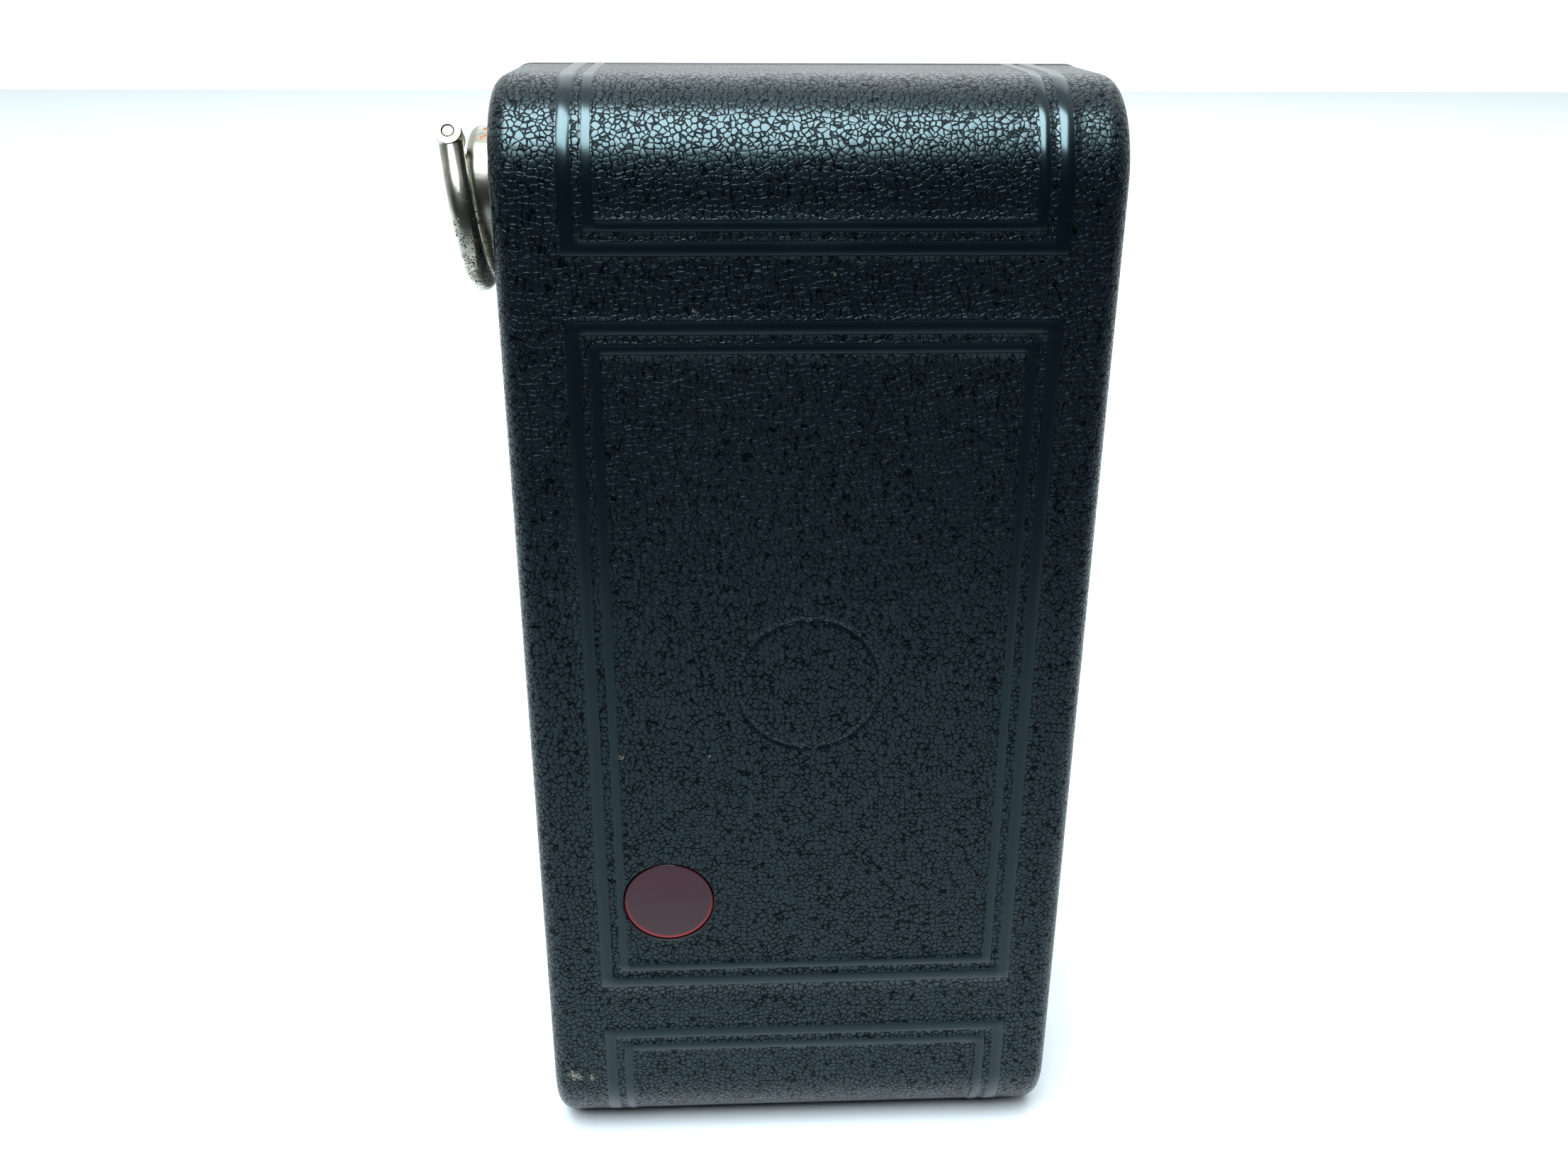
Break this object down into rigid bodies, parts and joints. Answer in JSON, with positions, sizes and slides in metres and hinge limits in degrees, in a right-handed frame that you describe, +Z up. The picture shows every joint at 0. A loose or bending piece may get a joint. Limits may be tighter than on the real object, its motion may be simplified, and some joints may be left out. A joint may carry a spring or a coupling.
{
  "type": "folding roll-film camera",
  "caption": "Vertical folding roll-film camera, shut: leather-covered lift-off back with a red window, winding key with a folding loop, bed door with self-erecting lens panel.",
  "frame": {"origin": "centre of the flat lower end that the shut camera stands on, at half its width and half its thickness", "axes": "+X to the right seen from behind, +Y forward through the lens, +Z up along the length of the case"},
  "size_m": [0.0895, 0.0345, 0.171],
  "materials": {
    "leatherette": "black pebble-grained leatherette with smooth tooled bands",
    "black_enamel": "black enamel on pressed steel sheet",
    "shutter_enamel": "semi-gloss black shutter enamel",
    "red_celluloid": "deep red celluloid",
    "lens_glass": "polished glass",
    "spool_wood": "turned wood",
    "bellows_leather": "thin black bellows leather",
    "aged_nickel": "nickel plating, dulled and pitted by age",
    "spring_steel": "spring steel",
    "bright_nickel": "nickel-plated brass and steel"
  },
  "bodies": {
    "case": {"side_plate_left": "black_enamel", "side_plate_right": "black_enamel", "side_leather_left": "leatherette", "side_leather_right": "leatherette", "front_plate": "black_enamel", "front_leather": "leatherette", "chamber_wall_top": "black_enamel", "chamber_wall_bottom": "black_enamel", "box_sides": "black_enamel", "gate_plate": "black_enamel", "cover_detents": "spring_steel", "idle_spool_pin": "bright_nickel", "pin_spring_top": "spring_steel", "pin_spring_bottom": "spring_steel", "tripod_bush": "bright_nickel", "case_screws": "bright_nickel", "key_bush": "bright_nickel", "hinge_leaf": "black_enamel", "hinge_rod": "bright_nickel", "bellows_frames": "black_enamel", "bellows": "bellows_leather"},
    "back_cover": {"cover_shell": "black_enamel", "cover_leather": "leatherette", "window_disc": "red_celluloid", "window_ring": "black_enamel", "pressure_plate": "black_enamel", "pressure_springs": "spring_steel"},
    "film_roller_top": {"film_roller_top": "bright_nickel"},
    "film_roller_bottom": {"film_roller_bottom": "bright_nickel"},
    "spool_pin_top": {"spool_pin_top": "bright_nickel"},
    "spool_pin_bottom": {"spool_pin_bottom": "bright_nickel"},
    "winding_key": {"key_shaft": "bright_nickel", "key_boss": "aged_nickel", "key_pin": "aged_nickel"},
    "key_loop": {"key_loop": "aged_nickel"},
    "take_up_spool": {"spool_core": "spool_wood", "spool_flanges": "black_enamel"},
    "bed_door": {"door_plate": "black_enamel", "door_leather": "leatherette", "door_knuckles": "black_enamel", "door_latch": "bright_nickel", "strut_lugs": "bright_nickel", "foot_hinge": "bright_nickel"},
    "foot": {"foot": "bright_nickel"},
    "release_button": {"release_button": "bright_nickel"},
    "strut_left": {"strut_left": "bright_nickel"},
    "strut_right": {"strut_right": "bright_nickel"},
    "brace_low_left": {"brace_low_left": "bright_nickel"},
    "brace_low_right": {"brace_low_right": "bright_nickel"},
    "brace_top_left": {"brace_top_left": "bright_nickel"},
    "brace_top_right": {"brace_top_right": "bright_nickel"},
    "lens_standard": {"lens_panel": "black_enamel", "shutter_case": "shutter_enamel", "shutter_face": "shutter_enamel", "lens_cell": "bright_nickel", "lens_glass": "lens_glass"},
    "aperture_disc": {"aperture_disc": "black_enamel"},
    "speed_lever": {"speed_lever": "bright_nickel"},
    "release_lever": {"release_lever": "bright_nickel"},
    "finder": {"finder": "black_enamel"}
  },
  "joints": [
    {"name": "cover_lift", "type": "slide", "parent": "case", "child": "back_cover", "axis": [0, -1, 0], "range_m": [0, 0.06]},
    {"name": "door_open", "type": "hinge", "parent": "case", "child": "bed_door", "pos_m": [0, 0.0144, 0.0322], "axis": [-1, 0, 0], "range_deg": [0, 90]},
    {"name": "panel_draw", "type": "slide", "parent": "case", "child": "lens_standard", "axis": [0, 1, 0], "range_m": [0, 0.0781], "deforming": ["bellows"]},
    {"name": "strut_swing_left", "type": "hinge", "parent": "bed_door", "child": "strut_left", "pos_m": [-0.028, 0.0111, 0.08953], "axis": [-1, 0, 0], "range_deg": [0, 83.64]},
    {"name": "brace_low_swing_left", "type": "hinge", "parent": "case", "child": "brace_low_left", "pos_m": [-0.033, 0.006, 0.0542], "axis": [-1, 0, 0], "range_deg": [0, 132.21]},
    {"name": "brace_top_swing_left", "type": "hinge", "parent": "bed_door", "child": "brace_top_left", "pos_m": [-0.033, 0.0118, 0.0632], "axis": [-1, 0, 0], "range_deg": [-98.57, 0]},
    {"name": "strut_swing_right", "type": "hinge", "parent": "bed_door", "child": "strut_right", "pos_m": [0.028, 0.0111, 0.08953], "axis": [-1, 0, 0], "range_deg": [0, 83.64]},
    {"name": "brace_low_swing_right", "type": "hinge", "parent": "case", "child": "brace_low_right", "pos_m": [0.033, 0.006, 0.0542], "axis": [-1, 0, 0], "range_deg": [0, 132.21]},
    {"name": "brace_top_swing_right", "type": "hinge", "parent": "bed_door", "child": "brace_top_right", "pos_m": [0.033, 0.0118, 0.0632], "axis": [-1, 0, 0], "range_deg": [-98.57, 0]},
    {"name": "foot_fold", "type": "hinge", "parent": "bed_door", "child": "foot", "pos_m": [0, 0.017, 0.1322], "axis": [1, 0, 0], "range_deg": [0, 90]},
    {"name": "button_press", "type": "slide", "parent": "case", "child": "release_button", "axis": [0, -1, 0], "range_m": [0, 0.0012], "stiffness_N_per_m": 300},
    {"name": "key_turn", "type": "hinge", "parent": "case", "child": "winding_key", "pos_m": [-0.0407, -0.0015, 0.156], "axis": [-1, 0, 0], "continuous": true},
    {"name": "spool_turn", "type": "hinge", "parent": "case", "child": "take_up_spool", "pos_m": [0, -0.0015, 0.156], "axis": [-1, 0, 0], "continuous": true},
    {"name": "loop_fold", "type": "hinge", "parent": "winding_key", "child": "key_loop", "pos_m": [-0.0465, -0.00005, 0.15851], "axis": [0, 0.866, -0.5], "range_deg": [0, 150]},
    {"name": "roller_spin_top", "type": "hinge", "parent": "case", "child": "film_roller_top", "pos_m": [0, -0.0096, 0.1341], "axis": [1, 0, 0], "continuous": true},
    {"name": "roller_spin_bottom", "type": "hinge", "parent": "case", "child": "film_roller_bottom", "pos_m": [0, -0.0096, 0.0369], "axis": [1, 0, 0], "continuous": true},
    {"name": "pin_pull_top", "type": "slide", "parent": "case", "child": "spool_pin_top", "axis": [1, 0, 0], "range_m": [0, 0.0031], "stiffness_N_per_m": 500, "deforming": ["pin_spring_top"]},
    {"name": "pin_pull_bottom", "type": "slide", "parent": "case", "child": "spool_pin_bottom", "axis": [1, 0, 0], "range_m": [0, 0.0031], "stiffness_N_per_m": 500, "deforming": ["pin_spring_bottom"]},
    {"name": "aperture_turn", "type": "hinge", "parent": "lens_standard", "child": "aperture_disc", "pos_m": [0, -0.0001, 0.0855], "axis": [0, 1, 0], "range_deg": [-20, 20]},
    {"name": "speed_set", "type": "hinge", "parent": "lens_standard", "child": "speed_lever", "pos_m": [0, -0.0001, 0.0855], "axis": [0, 1, 0], "range_deg": [-40, 40]},
    {"name": "shutter_release", "type": "hinge", "parent": "lens_standard", "child": "release_lever", "pos_m": [0, -0.0001, 0.0855], "axis": [0, 1, 0], "range_deg": [0, 12], "stiffness_Nm_per_rad": 0.02},
    {"name": "finder_swivel", "type": "hinge", "parent": "lens_standard", "child": "finder", "pos_m": [-0.019, -0.0001, 0.11], "axis": [0, 1, 0], "range_deg": [0, 90]}
  ],
  "couplings": [
    {"joint": "panel_draw", "follows": "door_open", "m_per_rad": 0.049656},
    {"joint": "spool_turn", "follows": "key_turn", "ratio": 1},
    {"joint": "strut_swing_left", "follows": "door_open", "ratio": 0.92874},
    {"joint": "brace_low_swing_left", "follows": "door_open", "ratio": 1.4684},
    {"joint": "brace_top_swing_left", "follows": "door_open", "ratio": -1.0947},
    {"joint": "strut_swing_right", "follows": "door_open", "ratio": 0.92874},
    {"joint": "brace_low_swing_right", "follows": "door_open", "ratio": 1.4684},
    {"joint": "brace_top_swing_right", "follows": "door_open", "ratio": -1.0947}
  ]
}
